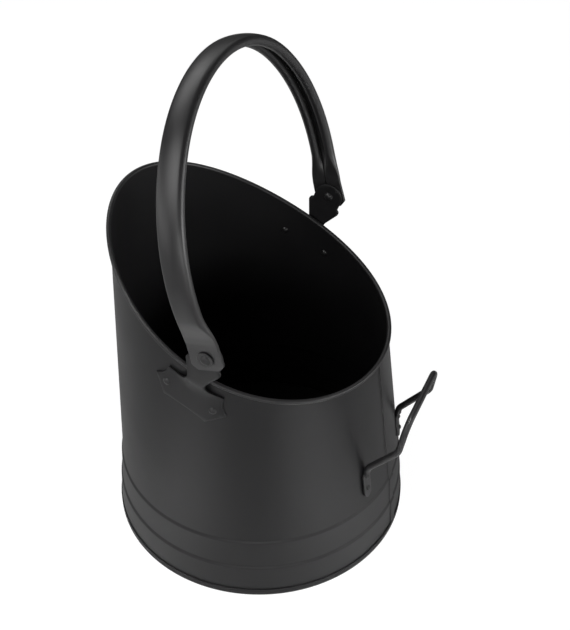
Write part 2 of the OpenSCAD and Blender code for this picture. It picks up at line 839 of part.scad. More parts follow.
// A flattened end: its foot round, its top drawn together to the round rod
module pad() {
    up = wall_up(right_pad_angle);
    h = leaned_height(right_pad_angle, pad_rivet_z);
    foot_len = pad_w;
    top_len = pad_rivet_pitch + 3.4;
    bend_start = elbow - bend_len(up, leg_way, leg_bend_r + rod_r) * up;
    side = unit(cross([0, 0, 1], up));
    difference() {
        union() {
            on_wall(right_pad_angle, h)
                translate([0, 0, fit_gap])
                    linear_extrude(pad_t) {
                        translate([foot_len - pad_w / 2, 0])
                            circle(pad_w / 2);
                        translate([-top_len, -pad_w / 2])
                            square([top_len + foot_len - pad_w / 2, pad_w]);
                    }
            hull() {
                on_wall(right_pad_angle, h)
                    translate([-top_len, nest - pad_w / 2, fit_gap + nest])
                        cube([lap, pad_w - 2 * nest, pad_t - 2 * nest]);
                in_frame(bend_start, side, cross(up, side), up)
                    cylinder(h = lap, r = rod_r, $fn = 32);
            }
        }
        for (end = [0, 1])
            on_wall(right_pad_angle, leaned_height(right_pad_angle, pad_rivet_z + end * pad_rivet_pitch))
                rivet_hole(pad_rivet_d);
    }
}

module tipping_handle() {
    up = wall_up(right_pad_angle);
    across = [-1, 0, 0];
    elbow_r = leg_bend_r + rod_r;
    knee_r = knee_bend_r + rod_r;
    corner_r = grip_bend_r + rod_r;
    knee_len = bend_len(leg_way, rise_way, knee_r);
    corner_len = bend_len(rise_way, across, corner_r);
    grip_end = corner + corner_len * across;
    color(charcoal) {
        for (side = [0, 1])
            mirror([side, 0, 0]) {
                pad();
                rod_bend(elbow, up, leg_way, elbow_r);
                rod(elbow + bend_len(up, leg_way, elbow_r) * leg_way, knee - knee_len * leg_way);
                rod_bend(knee, leg_way, rise_way, knee_r);
                rod(knee + knee_len * rise_way, corner - corner_len * rise_way);
                rod_bend(corner, rise_way, across, corner_r);
            }
        rod([-grip_end[0], grip_end[1], grip_end[2]], grip_end);
    }
}

// Tipping handle rivet places: side -1 left or 1 right, end -1 lower or 1 upper
module handle_rivet_place(side, end) {
    z = pad_rivet_z + (end + 1) / 2 * pad_rivet_pitch;
    mirror([side < 0 ? 1 : 0, 0, 0])
        on_wall(right_pad_angle, leaned_height(right_pad_angle, z))
            children();
}

module handle_rivet(side, end) {
    color(rivet_grey)
        handle_rivet_place(side, end)
            wall_rivet(pad_rivet_d, pad_rivet_head_d, fit_gap + pad_t + fit_gap);
}

body_wall();
base_pan();
rim_roll();
rim_wire();
ear(-1);  // ear_left
ear(1);  // ear_right
ear_rivet(-1, -1);  // ear_rivet_left_front
ear_rivet(-1, 1);  // ear_rivet_left_rear
ear_rivet(1, -1);  // ear_rivet_right_front
ear_rivet(1, 1);  // ear_rivet_right_rear
pivot_rivet(-1);  // pivot_rivet_left
pivot_rivet(1);  // pivot_rivet_right
pivot_washer(-1);  // pivot_washer_left
pivot_washer(1);  // pivot_washer_right
bail();
tipping_handle();
handle_rivet(-1, 1);  // handle_rivet_left_upper
handle_rivet(-1, -1);  // handle_rivet_left_lower
handle_rivet(1, 1);  // handle_rivet_right_upper
handle_rivet(1, -1);  // handle_rivet_right_lower
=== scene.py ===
# Round coal scuttle in black powder coat: its looks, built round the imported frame.
# Lengths are millimetres for the pieces and the camera, and metres for the coats, the studio and the lights.
# Angles are degrees.
from math import acos, asin, atan2, cos, degrees, pi, radians, sin, sqrt, tan

import bmesh
import bpy
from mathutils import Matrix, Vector
from mathutils.geometry import delaunay_2d_cdt


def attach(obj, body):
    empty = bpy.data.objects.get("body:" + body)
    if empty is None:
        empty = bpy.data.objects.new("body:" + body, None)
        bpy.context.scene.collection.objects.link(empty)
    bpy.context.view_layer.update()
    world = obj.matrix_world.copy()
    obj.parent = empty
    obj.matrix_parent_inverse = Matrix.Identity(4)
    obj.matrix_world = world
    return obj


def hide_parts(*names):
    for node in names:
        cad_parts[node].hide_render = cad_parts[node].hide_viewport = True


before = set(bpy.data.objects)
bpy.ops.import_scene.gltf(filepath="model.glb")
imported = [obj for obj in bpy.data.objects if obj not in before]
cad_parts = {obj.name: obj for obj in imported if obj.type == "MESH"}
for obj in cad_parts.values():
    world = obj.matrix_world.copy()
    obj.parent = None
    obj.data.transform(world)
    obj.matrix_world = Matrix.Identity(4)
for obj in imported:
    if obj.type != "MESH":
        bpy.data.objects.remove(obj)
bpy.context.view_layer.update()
scene = bpy.context.scene
mm = 0.001
print("frame loaded:", len(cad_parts), "nodes")


# Small vector help, on plain lists
def add(*parts):
    return [sum(c) for c in zip(*parts)]


def sub(a, b):
    return [p - q for p, q in zip(a, b)]


def scaled(v, k):
    return [c * k for c in v]


def dot(a, b):
    return sum(p * q for p, q in zip(a, b))


def crossed(a, b):
    return [a[1] * b[2] - a[2] * b[1], a[2] * b[0] - a[0] * b[2], a[0] * b[1] - a[1] * b[0]]


def unit(v):
    return scaled(v, 1 / sqrt(dot(v, v)))


def smooth(t):
    t = min(1.0, max(0.0, t))
    return t * t * (3 - 2 * t)


def steps(a, b, n):
    return [a + (b - a) * i / n for i in range(n + 1)]


def around(n, whole):
    # n places round a whole turn, which ends where it starts
    return [i * whole / n for i in range(n)]


def ring(n):
    return [(i, (i + 1) % n) for i in range(n)]


def arcPoints(centre, r, start, end, n):
    return [[centre[0] + r * cos(radians(t)), centre[1] + r * sin(radians(t))] for t in steps(start, end, n)]


def tableAt(points, x):
    # straight lines between the points, level past both ends
    if x <= points[0][0]:
        return points[0][1]
    for (x0, y0), (x1, y1) in zip(points, points[1:]):
        if x <= x1:
            return y0 + (y1 - y0) * (x - x0) / (x1 - x0)
    return points[-1][1]


# Small help with node trees
def groupSockets(tree, way, sockets):
    for name, kind, *value in sockets:
        socket = tree.interface.new_socket(name=name, in_out=way, socket_type="NodeSocket" + kind)
        if value:
            socket.default_value = value[0]


def feed(tree, socket, value):
    if isinstance(value, bpy.types.NodeSocket):
        tree.links.new(value, socket)
    else:
        socket.default_value = value


def mathNode(tree, operation, *values):
    n = tree.nodes.new("ShaderNodeMath")
    n.operation = operation
    for socket, value in zip(n.inputs, values):
        feed(tree, socket, value)
    return n.outputs[0]


def noiseNode(tree, vector, scale, detail, roughness):
    n = tree.nodes.new("ShaderNodeTexNoise")
    feed(tree, n.inputs["Vector"], vector)
    feed(tree, n.inputs["Scale"], scale)
    n.inputs["Detail"].default_value = detail
    n.inputs["Roughness"].default_value = roughness
    return n.outputs["Fac"]


def geometryNode(tree, kind, inputs):
    n = tree.nodes.new("GeometryNode" + kind)
    for name, value in inputs.items():
        feed(tree, n.inputs[name], value)
    return n


# Materials: one powder coat, with values of its own for each piece; a noise is (detail, roughness)
powder = {"cloudNoise": (4, 0.55), "pebbleNoise": (2, 0.4), "waveNoise": (1, 0.3), "waveScale": 16,
          "toneGain": 2.4, "toneOffset": -0.7, "glossFrom": 0.3, "glossTo": 0.7, "pebbleHeight": 0.00003}


def buildPowderCoat():
    # sprayed and baked coat: cloudy tone, fine pebbled skin, slow waves of the sheet under it
    tree = bpy.data.node_groups.new("powderCoat", "ShaderNodeTree")
    groupSockets(tree, "INPUT", (
        ("Vector", "Vector"), ("Thin Colour", "Color", (0.02, 0.02, 0.02, 1)),
        ("Thick Colour", "Color", (0.03, 0.03, 0.03, 1)), ("Cloud Scale", "Float", 14),
        ("Pebble Scale", "Float", 700), ("Gloss Low", "Float", 0.4), ("Gloss High", "Float", 0.5),
        ("Wave Depth", "Float", 0.0)))
    groupSockets(tree, "OUTPUT", (("Colour", "Color"), ("Roughness", "Float"), ("Height", "Float")))
    given = tree.nodes.new("NodeGroupInput").outputs
    out = tree.nodes.new("NodeGroupOutput").inputs
    cloud = noiseNode(tree, given["Vector"], given["Cloud Scale"], *powder["cloudNoise"])
    pebble = noiseNode(tree, given["Vector"], given["Pebble Scale"], *powder["pebbleNoise"])
    wave = noiseNode(tree, given["Vector"], powder["waveScale"], *powder["waveNoise"])
    tone = tree.nodes.new("ShaderNodeMix")
    tone.data_type = "RGBA"
    mottle = mathNode(tree, "MULTIPLY_ADD", pebble, 0.5, mathNode(tree, "MULTIPLY", cloud, 0.5))
    sharper = mathNode(tree, "MULTIPLY_ADD", mottle, powder["toneGain"], powder["toneOffset"])
    feed(tree, tone.inputs["Factor"], sharper)
    feed(tree, tone.inputs["A"], given["Thin Colour"])
    feed(tree, tone.inputs["B"], given["Thick Colour"])
    feed(tree, out["Colour"], tone.outputs["Result"])
    gloss = tree.nodes.new("ShaderNodeMapRange")
    gloss.inputs["From Min"].default_value = powder["glossFrom"]
    gloss.inputs["From Max"].default_value = powder["glossTo"]
    feed(tree, gloss.inputs["Value"], cloud)
    feed(tree, gloss.inputs["To Min"], given["Gloss Low"])
    feed(tree, gloss.inputs["To Max"], given["Gloss High"])
    feed(tree, out["Roughness"], gloss.outputs["Result"])
    skin = mathNode(tree, "MULTIPLY", pebble, powder["pebbleHeight"])
    feed(tree, out["Height"], mathNode(tree, "MULTIPLY_ADD", wave, given["Wave Depth"], skin))
    return tree


powderCoat = buildPowderCoat()


def coatMaterial(name, look):
    material = bpy.data.materials.new(name)
    material.use_nodes = True
    tree = material.node_tree
    shader = tree.nodes["Principled BSDF"]
    where = tree.nodes.new("ShaderNodeTexCoord")
    coat = tree.nodes.new("ShaderNodeGroup")
    coat.node_tree = powderCoat
    feed(tree, coat.inputs["Vector"], where.outputs["Object"])
    for socket, value in (("Thin Colour", (*look["thin"], 1)), ("Thick Colour", (*look["thick"], 1)),
                          ("Cloud Scale", look["cloud"]), ("Pebble Scale", look["pebble"]),
                          ("Gloss Low", look["gloss"][0]), ("Gloss High", look["gloss"][1]),
                          ("Wave Depth", look.get("wave", 0))):
        coat.inputs[socket].default_value = value
    feed(tree, shader.inputs["Base Color"], coat.outputs["Colour"])
    feed(tree, shader.inputs["Roughness"], coat.outputs["Roughness"])
    bump = tree.nodes.new("ShaderNodeBump")
    bump.inputs["Strength"].default_value = look["bump"]
    bump.inputs["Distance"].default_value = 1.0
    feed(tree, bump.inputs["Height"], coat.outputs["Height"])
    feed(tree, shader.inputs["Normal"], bump.outputs["Normal"])
    shader.inputs["Specular IOR Level"].default_value = look["shine"]
    shader.inputs["Metallic"].default_value = look.get("metal", 0)
    return material


coats = {
    "body": {"thin": (0.0062, 0.0060, 0.0066), "thick": (0.0085, 0.0082, 0.0088), "cloud": 13, "pebble": 900,
             "gloss": (0.4, 0.47), "wave": 0.0004, "bump": 0.35, "shine": 0.34},
    # inside: painted shade, the body's powder coat made about five times darker and almost without shine, for
    # the bucket's shaded inside
    "inside": {"thin": (0.0012, 0.0012, 0.0013), "thick": (0.0018, 0.0017, 0.0018), "cloud": 11,
               "pebble": 800, "gloss": (0.62, 0.7), "wave": 0.0004, "bump": 0.3, "shine": 0.004},
    "rim": {"thin": (0.009, 0.0087, 0.0093), "thick": (0.0125, 0.0121, 0.0128), "cloud": 40, "pebble": 900,
            "gloss": (0.36, 0.44), "bump": 0.18, "shine": 0.45},
    "floor": {"thin": (0.006, 0.0058, 0.0064), "thick": (0.0085, 0.0082, 0.0088), "cloud": 20, "pebble": 850,
              "gloss": (0.45, 0.55), "wave": 0.0003, "bump": 0.35, "shine": 0.3},
    "ear": {"thin": (0.0062, 0.0060, 0.0066), "thick": (0.0085, 0.0082, 0.0088), "cloud": 45, "pebble": 900,
            "gloss": (0.42, 0.5), "bump": 0.35, "shine": 0.34},
    "bail": {"thin": (0.009, 0.0086, 0.0092), "thick": (0.0125, 0.012, 0.0127), "cloud": 26, "pebble": 950,
             "gloss": (0.34, 0.42), "bump": 0.15, "shine": 0.58},
    "rod": {"thin": (0.009, 0.0086, 0.0092), "thick": (0.0125, 0.012, 0.0127), "cloud": 60, "pebble": 1000,
            "gloss": (0.36, 0.44), "bump": 0.2, "shine": 0.45},
    "rivet": {"thin": (0.007, 0.0068, 0.0073), "thick": (0.01, 0.0097, 0.0103), "cloud": 120, "pebble": 1100,
              "gloss": (0.34, 0.42), "bump": 0.3, "shine": 0.42},
}
coatOf = {name: coatMaterial(name + "Coat", look) for name, look in coats.items()}
# the wire in the rolled edge is bare drawn steel
drawnWire = coatMaterial("drawnWire", {
    "thin": (0.28, 0.28, 0.285), "thick": (0.36, 0.36, 0.365), "cloud": 90, "pebble": 1500,
    "gloss": (0.25, 0.38), "bump": 0.2, "shine": 0.5, "metal": 1})
print("materials:", len(coats) + 1)


# Pieces: a mesh at the origin, in metres, that rides on a body and stands for its nodes
def outward(mesh):
    # doubles merged, loose edges dropped, and every face turned outwards
    work = bmesh.new()
    work.from_mesh(mesh)
    bmesh.ops.remove_doubles(work, verts=work.verts, dist=1e-6)
    bmesh.ops.delete(work, geom=[e for e in work.edges if not e.link_faces], context="EDGES")
    bmesh.ops.recalc_face_normals(work, faces=work.faces)
    if work.calc_volume(signed=True) < 0:
        bmesh.ops.reverse_faces(work, faces=work.faces)
    work.to_mesh(mesh)
    work.free()


def addObject(name, data):
    made = bpy.data.objects.new(name, data)
    scene.collection.objects.link(made)
    return made


def finishPiece(name, mesh, body, nodes, materials, crease):
    mesh.name = name
    mesh.materials.clear()
    for material in materials:
        mesh.materials.append(material)
    mesh.shade_smooth()
    mesh.set_sharp_from_angle(angle=radians(crease))
    piece = addObject(name, mesh)
    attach(piece, body)
    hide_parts(*nodes)
    print("piece", name, len(mesh.polygons), "faces")


def meshFrom(name, points, faces):
    mesh = bpy.data.meshes.new(name)
    mesh.from_pydata([[c * mm for c in p] for p in points], [], faces)
    mesh.validate()
    return mesh


def bands(n, rows, start=0):
    # faces between rings of n points that follow each other in the point list
    return [[start + k * n + i, start + k * n + j, start + (k + 1) * n + j, start + (k + 1) * n + i]
            for k in range(rows) for i, j in ring(n)]


def spunMesh(name, profile, sides):
    # (radius, height) points turned round the upright axis
    points = [[r * cos(t), r * sin(t), z] for r, z in profile for t in around(sides, 2 * pi)]
    mesh = meshFrom(name, points, bands(sides, len(profile) - 1))
    outward(mesh)
    return mesh


def halfLoft(name, rings):
    # rings from the capped right end to the middle, then their mirror image, joined there
    n = len(rings[0])
    points = [p for r in rings for p in r] + [scaled(add(*rings[0]), 1 / n)]
    faces = bands(n, len(rings) - 1) + [[i, len(points) - 1, j] for i, j in ring(n)]
    faces += [[i + len(points) for i in reversed(f)] for f in faces]
    mesh = meshFrom(name, points + [[-p[0], p[1], p[2]] for p in points], faces)
    outward(mesh)
    return mesh


# The bucket's form, with the CAD's own rules
bucket = {"footRadius": 140, "seamHeight": 7, "lowSwage": 35, "highSwage": 67, "swageStep": 1.5,
          "swageHeight": 2, "swageSoft": 0.75, "softFrom": 10, "softTo": 90, "footTaper": 3.2, "sheet": 1,
          "gap": 0.05, "wallTaper": 4.9, "wallLean": 2.4, "mouthHeight": 245, "mouthSlope": 25.9,
          "mouthCurve": 555, "seamWidth": 9, "seamProud": 0.9, "seamEdge": 0.8, "seamStop": 4.3}
sheet, gap = bucket["sheet"], bucket["gap"]
bandSlope = tan(radians(bucket["footTaper"]))
wallFootR = bucket["footRadius"] - sheet - gap
lowBandTopR = wallFootR - (bucket["lowSwage"] - bucket["swageHeight"] / 2 - bucket["seamHeight"]) * bandSlope
highBandFootR = lowBandTopR - bucket["swageStep"]
highBand = bucket["highSwage"] - bucket["lowSwage"] - bucket["swageHeight"] * 1.5
highBandTopR = highBandFootR - highBand * bandSlope
wallR = highBandTopR - bucket["swageStep"]
wallSlope = tan(radians(bucket["wallTaper"]))
leanSin, leanCos = sin(radians(bucket["wallLean"])), cos(radians(bucket["wallLean"]))
leanShift = -wallR * leanSin / leanCos * wallSlope
mouthY = bucket["mouthCurve"] * sin(radians(bucket["mouthSlope"]))
mouthZ = bucket["mouthHeight"] + bucket["mouthCurve"] * cos(radians(bucket["mouthSlope"]))
footOutline = [(0, wallFootR), (bucket["seamHeight"], wallFootR),
               (bucket["lowSwage"] - bucket["swageHeight"] / 2, lowBandTopR),
               (bucket["lowSwage"] + bucket["swageHeight"] / 2, highBandFootR),
               (bucket["highSwage"] - bucket["swageHeight"], highBandTopR),
               (bucket["highSwage"] + bucket["swageHeight"], wallR - bucket["swageStep"])]


def mouthHeight(y):
    return mouthZ - sqrt(bucket["mouthCurve"] ** 2 - (y - mouthY) ** 2)


# the upper wall is a cone round a leaning axis: points and directions to that axis's own frame and back
def toLeaned(p):
    y, z = p[1] - leanShift, p[2] - bucket["highSwage"]
    return [p[0], y * leanCos + z * leanSin, z * leanCos - y * leanSin]


def turnLeaned(p):
    return [p[0], p[1] * leanCos - p[2] * leanSin, p[1] * leanSin + p[2] * leanCos]


def fromLeaned(p):
    return add(turnLeaned(p), [0, leanShift, bucket["highSwage"]])


def coneR(h):
    return wallR - h * wallSlope


def wallX(y, z, out=0.0):
    p = toLeaned([0, y, z])
    return sqrt((coneR(p[2]) + out) ** 2 - p[1] ** 2)


def wallAngle(y, z):
    p = toLeaned([0, y, z])
    return degrees(asin(p[1] / coneR(p[2])))


def leanedHeight(angle, z):
    s = sin(radians(angle))
    return (z - bucket["highSwage"] - wallR * s * leanSin) / (leanCos - wallSlope * s * leanSin)


def wallPoint(angle, h, out=0.0):
    a = radians(angle)
    return add(fromLeaned([coneR(h) * cos(a), coneR(h) * sin(a), h]), scaled(wallNormal(angle), out))


def wallNormal(angle):
    a, t = radians(angle), radians(bucket["wallTaper"])
    return turnLeaned([cos(t) * cos(a), cos(t) * sin(a), sin(t)])


def wallUp(angle):
    a, t = radians(angle), radians(bucket["wallTaper"])
    return turnLeaned([-sin(t) * cos(a), -sin(t) * sin(a), cos(t)])


def rimPoint(angle):
    # where the wall meets the mouth's curve, found in a few steps up the cone
    a, h = radians(angle), 160.0
    for _ in range(8):
        p = fromLeaned([coneR(h) * cos(a), coneR(h) * sin(a), h])
        h += (mouthHeight(p[1]) - p[2]) / leanCos
    return fromLeaned([coneR(h) * cos(a), coneR(h) * sin(a), h])


def rimUp(angle):
    way = unit(sub(rimPoint(angle + 0.5), rimPoint(angle - 0.5)))
    return unit(crossed(wallNormal(angle), way))


def radiusAt(angle, z):
    # outside of the wall from the foot's axis: the banded foot or the leaning cone, whichever is out
    foot = tableAt(footOutline, z)
    if z < bucket["highSwage"] - bucket["swageHeight"] / 2:
        return foot
    c, s = cos(radians(angle)), sin(radians(angle))
    r = wallR
    for _ in range(6):
        p = toLeaned([r * c, r * s, z])
        r += coneR(p[2]) - sqrt(p[0] ** 2 + p[1] ** 2)
    return max(r, foot) if z < footOutline[-1][0] else r


def softRadius(angle, z):
    # the swages' corners are rounded, as pressing leaves them
    if not bucket["softFrom"] < z < bucket["softTo"]:
        return radiusAt(angle, z)
    weights = ((-1, 1), (-0.5, 2), (0, 2), (0.5, 2), (1, 1))
    return sum(radiusAt(angle, z + bucket["swageSoft"] * k) * w for k, w in weights) / 8


def seamProud(angle, z, top):
    # the lock seam down the back: a flat raised band with rounded edges
    reach = abs(angle - 90) * pi / 180 * wallR
    side = 1 - smooth((reach - bucket["seamWidth"] / 2 + bucket["seamEdge"] / 2) / bucket["seamEdge"])
    ends = smooth((z - bucket["seamHeight"] - 0.1) / 0.4) * smooth((top - bucket["seamStop"] - z) / 0.5)
    return bucket["seamProud"] * side * ends


# Wall: columns of points all round, closer at the lock seam, and rows closer at the swages and the edge
wall = {"turns": 240, "rows": 34, "rowsStop": 9, "seamRoom": 0.35, "seamMiddle": (-1.2, -0.4, 0.4, 1.2),
        "seamSteps": (-0.3, -0.2, -0.16, -0.12, -0.08, -0.04, 0, 0.04, 0.08, 0.12, 0.16, 0.2, 0.3),
        "footRows": [1.05, 4, 6.6, 7.1, 7.3, 7.5, 7.8, 10, 15, 20, 26, 31] + steps(32.4, 37.6, 14)
        + [39, 44, 52, 60] + steps(63, 70.5, 20) + [73, 78],
        "edgeRows": (7, 5.6, 5, 4.8, 4.6, 4.4, 4.2, 3.4, 1.7, 0)}


def buildWall():
    half = degrees(bucket["seamWidth"] / 2 / wallR)
    angles = [a for a in around(wall["turns"], 360) if abs(a - 90) > half + wall["seamRoom"]]
    angles += [90 + side * (half + f) for side in (-1, 1) for f in wall["seamSteps"]]
    angles = sorted(angles + [90 + f for f in wall["seamMiddle"]])
    low = wall["footRows"]
    outer, inner = [], []
    for angle in angles:
        top = bucket["mouthHeight"]
        for _ in range(10):
            top = mouthHeight(radiusAt(angle, top) * sin(radians(angle)))
        plain = top - wall["rowsStop"] - low[-1]
        heights = low + [low[-1] + plain * f for f in steps(0, 1, wall["rows"])[1:]]
        heights += [top - d for d in wall["edgeRows"]]
        c, s = cos(radians(angle)), sin(radians(angle))
        out, inn = [], []
        for z in heights:
            r = softRadius(angle, z)
            ro = r + seamProud(angle, z, top)
            out.append([ro * c, ro * s, z])
            inn.append([(r - sheet) * c, (r - sheet) * s, z])
        inner.append(inn)
        outer.append(out)
    n, m = len(angles), len(outer[0])
    points = [p for column in outer + inner for p in column]
    faces, paintedShadeIndex = [], []
    for i, j in ring(n):
        a, b = (n + i) * m, (n + j) * m
        for k in range(m - 1):
            faces.append([i * m + k, j * m + k, j * m + k + 1, i * m + k + 1])
            faces.append([a + k, a + k + 1, b + k + 1, b + k])
            paintedShadeIndex += [0, 1]
        faces.append([i * m, a, b, j * m])
        faces.append([i * m + m - 1, j * m + m - 1, b + m - 1, a + m - 1])
        paintedShadeIndex += [0, 1]
    mesh = meshFrom("bodyWall", points, faces)
    # inner faces take index 1, the inside coat: painted shade, darker than the same coat outside
    mesh.polygons.foreach_set("material_index", paintedShadeIndex)
    coat = [coatOf["body"], coatOf["inside"]]
    finishPiece("bodyWall", mesh, "bucket", ["body_wall"], coat, 50)


# Geometry Nodes: each tree takes its sizes and a material, and ends in real geometry that wears it
def startTree(name, *sockets):
    tree = bpy.data.node_groups.new(name, "GeometryNodeTree")
    groupSockets(tree, "INPUT", (("Geometry", "Geometry"), *sockets, ("Material", "Material")))
    groupSockets(tree, "OUTPUT", (("Geometry", "Geometry"),))
    return tree, tree.nodes.new("NodeGroupInput").outputs


def endTree(tree, given, geometry):
    real = geometryNode(tree, "RealizeInstances", {"Geometry": geometry})
    paint = geometryNode(tree, "SetMaterial", {"Geometry": real.outputs["Geometry"],
                                               "Material": given["Material"]})
    feed(tree, tree.nodes.new("NodeGroupOutput").inputs["Geometry"], paint.outputs["Geometry"])
    return tree


def facingSocket(tree):
    # the outward direction that each point of the path or the row carries
    named = geometryNode(tree, "InputNamedAttribute", {})
    named.data_type = "FLOAT_VECTOR"
    named.inputs["Name"].default_value = "facing"
    return named.outputs["Attribute"]


def buildSweepTree():
    # a section carried round a closed path, standing square to the path's own outward direction
    tree, given = startTree("sectionSweep", ("Section", "Object"), ("Merge Distance", "Float", 0.000001))
    path = geometryNode(tree, "MeshToCurve", {"Mesh": given["Geometry"]})
    aim = geometryNode(tree, "SetCurveNormal", {"Curve": path.outputs["Curve"]})
    aim.mode = "FREE"
    feed(tree, aim.inputs["Normal"], facingSocket(tree))
    source = geometryNode(tree, "ObjectInfo", {"Object": given["Section"]})
    section = geometryNode(tree, "MeshToCurve", {"Mesh": source.outputs["Geometry"]})
    sweep = geometryNode(tree, "CurveToMesh", {"Curve": aim.outputs["Curve"],
                                               "Profile Curve": section.outputs["Curve"]})
    merge = geometryNode(tree, "MergeByDistance", {"Geometry": sweep.outputs["Mesh"],
                                                   "Distance": given["Merge Distance"]})
    return endTree(tree, given, merge.outputs["Geometry"])


def buildRivetTree():
    # one turned shape stood on each place, facing the place's outward direction
    tree, given = startTree("rivetRow", ("Rivet", "Object"), ("Size", "Float", 1.0))
    source = geometryNode(tree, "ObjectInfo", {"Object": given["Rivet"]})
    turn = tree.nodes.new("FunctionNodeAlignRotationToVector")
    turn.axis = "Z"
    feed(tree, turn.inputs["Vector"], facingSocket(tree))
    stand = geometryNode(tree, "InstanceOnPoints", {
        "Points": given["Geometry"], "Instance": source.outputs["Geometry"],
        "Rotation": turn.outputs["Rotation"], "Scale": given["Size"]})
    return endTree(tree, given, stand.outputs["Instances"])


sweepTree, rivetTree = buildSweepTree(), buildRivetTree()


def helperObject(name, points, edges, facing=None):
    mesh = bpy.data.meshes.new(name)
    mesh.from_pydata([[c * mm for c in p] for p in points], edges, [])
    if facing:
        layer = mesh.attributes.new("facing", "FLOAT_VECTOR", "POINT")
        layer.data.foreach_set("vector", [c for v in facing for c in v])
    return addObject(name, mesh)


def takeMesh(holder, *helpers):
    # the evaluated result as a plain mesh; the modifier and its helpers go
    bpy.context.view_layer.update()
    made = holder.evaluated_get(bpy.context.evaluated_depsgraph_get())
    mesh = bpy.data.meshes.new_from_object(made)
    holder.modifiers.clear()
    for o in (holder, *helpers):
        bpy.data.objects.remove(o)
    facing = mesh.attributes.get("facing")
    if facing:
        mesh.attributes.remove(facing)
    return mesh


def grownMesh(holder, tree, values, helper):
    # a tree's result on the holder; its inputs are set by their identifiers before anything is evaluated
    modifier = holder.modifiers.new("grow", "NODES")
    modifier.node_group = tree
    ids = {i.name: i.identifier for i in tree.interface.items_tree
           if i.item_type == "SOCKET" and i.in_out == "INPUT"}
    for name, value in values.items():
        modifier[ids[name]] = value
    mesh = takeMesh(holder, helper)
    outward(mesh)
    return mesh


def sweepMesh(name, centres, facing, section, material):
    # section points are [along facing, across it]
    path = helperObject(name + "Path", centres, ring(len(centres)), facing)
    shape = helperObject(name + "Section", [[a, -b, 0] for a, b in section], ring(len(section)))
    return grownMesh(path, sweepTree, {"Section": shape, "Material": material}, shape)


# Rolled edge: the mouth's sheet turned over a wire
rim = {"wire": 2, "rise": 0.5, "turns": 288, "curl": -120, "wireSides": 12}
holeR = rim["wire"] / 2 + gap
rollR = holeR + sheet
rollOut = rollR - sheet


def buildRim():
    turns = around(rim["turns"], 360)
    facing = [wallNormal(a) for a in turns]
    centres = [add(rimPoint(a), scaled(f, rollOut), scaled(rimUp(a), rim["rise"]))
               for a, f in zip(turns, facing)]
    # rolled from the wall's inside over the top, outwards and back under the wire
    section = [[-rollR, gap - rim["rise"]]] + arcPoints([0, 0], rollR, 180, rim["curl"], 30) \
        + arcPoints([0, 0], holeR, rim["curl"], 180, 20) + [[-holeR, gap - rim["rise"]]]
    mesh = sweepMesh("rimRoll", centres, facing, section, coatOf["rim"])
    finishPiece("rimRoll", mesh, "bucket", ["rim_roll"], [coatOf["rim"]], 60)
    last = rim["wireSides"] - 1
    wire = arcPoints([0, 0], rim["wire"] / 2, 0, 360 * last / rim["wireSides"], last)
    mesh = sweepMesh("rimWire", centres, facing, wire, drawnWire)
    finishPiece("rimWire", mesh, "bucket", ["rim_wire"], [drawnWire], 60)


# Base pan: the floor set up inside the foot, its flange folded under the wall's edge and up outside it
pan = {"floor": 9, "bend": 2, "turns": 240, "path": 120, "topRings": (0, 30, 60, 90, 115),
       "underRings": (115, 60, 0)}


def buildPan():
    r1 = wallFootR - sheet - gap
    bend = pan["bend"] + sheet
    top = pan["floor"] + sheet
    r0 = bucket["footRadius"]
    hem = bucket["seamHeight"]
    section = [[r, top] for r in (*pan["topRings"], r1 - bend - 4)]
    section += arcPoints([r1 - bend, top - bend], bend, 90, 0, 6)
    section += [[r1, sheet + 0.3], [r1 + 0.1, sheet + 0.05]]
    section += [[r0 - sheet, sheet + 0.05], [r0 - sheet, hem - 0.4]]
    section += arcPoints([r0 - sheet / 2, hem - sheet / 2], sheet / 2, 170, 10, 6)
    section += [[r0, hem / 2]] + arcPoints([r0 - sheet, sheet], sheet, 0, -90, 5)
    section += arcPoints([r1, sheet], sheet, -90, -180, 5)
    section += [[r1 - sheet, 4]] + arcPoints([r1 - bend, top - bend], pan["bend"], 0, 90, 5)
    section += [[r, pan["floor"]] for r in pan["underRings"]]
    facing = [[cos(a), sin(a), 0] for a in around(pan["turns"], 2 * pi)]
    mesh = sweepMesh("basePan", [scaled(f, pan["path"]) for f in facing], facing,
                     [[r - pan["path"], z] for r, z in section], coatOf["floor"])
    for face in mesh.polygons:
        # what is seen down inside the bucket wears the inside coat: painted shade, darker than the same coat
        # outside
        inShadeRadius = sqrt(face.center.x ** 2 + face.center.y ** 2) < (r1 + gap / 2) * mm
        face.material_index = 1 if inShadeRadius and face.normal.z > -0.2 and face.center.z > sheet * 2 * mm else 0
    coat = [coatOf["floor"], coatOf["inside"]]
    finishPiece("basePan", mesh, "bucket", ["base_pan"], coat, 40)


# Ears: cut plates, their wings curved to the wall and their tabs standing clear of the rolled edge
ear = {"y": 4.6, "lean": 21.8, "t": 1.8, "drop": 26.6, "rise": 30.4, "clear": 2.3, "pitch": 43.8, "headR": 13,
       "shoulderW": 31.4, "shoulderV": 44.6, "lobeR": 4, "lobeEnd": 70, "flare": 21.4253, "neckRise": 0.9,
       "waistW": 17, "waistCurve": ((0.2, 1.6), (0.75, 3.4)), "scoopR": 9, "cuspW": 51.2, "hollowR": 19,
       "wingW": 67.6, "wingTop": 16.2, "tipH": 0.3, "footW": 41, "heelDrop": 14.5, "footSag": 3,
       "rampStart": 8.5, "rampFan": 7.5, "fanReach": 22, "rampEnd": 2.8, "bevel": 0.12, "cell": 3,
       "holeSides": 32}
earAxis = [sin(radians(ear["lean"])), cos(radians(ear["lean"]))]
earAcross = [earAxis[1], -earAxis[0]]
earCross = [ear["y"], mouthHeight(ear["y"])]
earFoot = sub(earCross, scaled(earAxis, ear["drop"]))
earLen = ear["drop"] + ear["rise"]
pivot = add(earFoot, scaled(earAxis, earLen))
tabX = wallX(*earCross) + rollOut + rollR + ear["clear"]


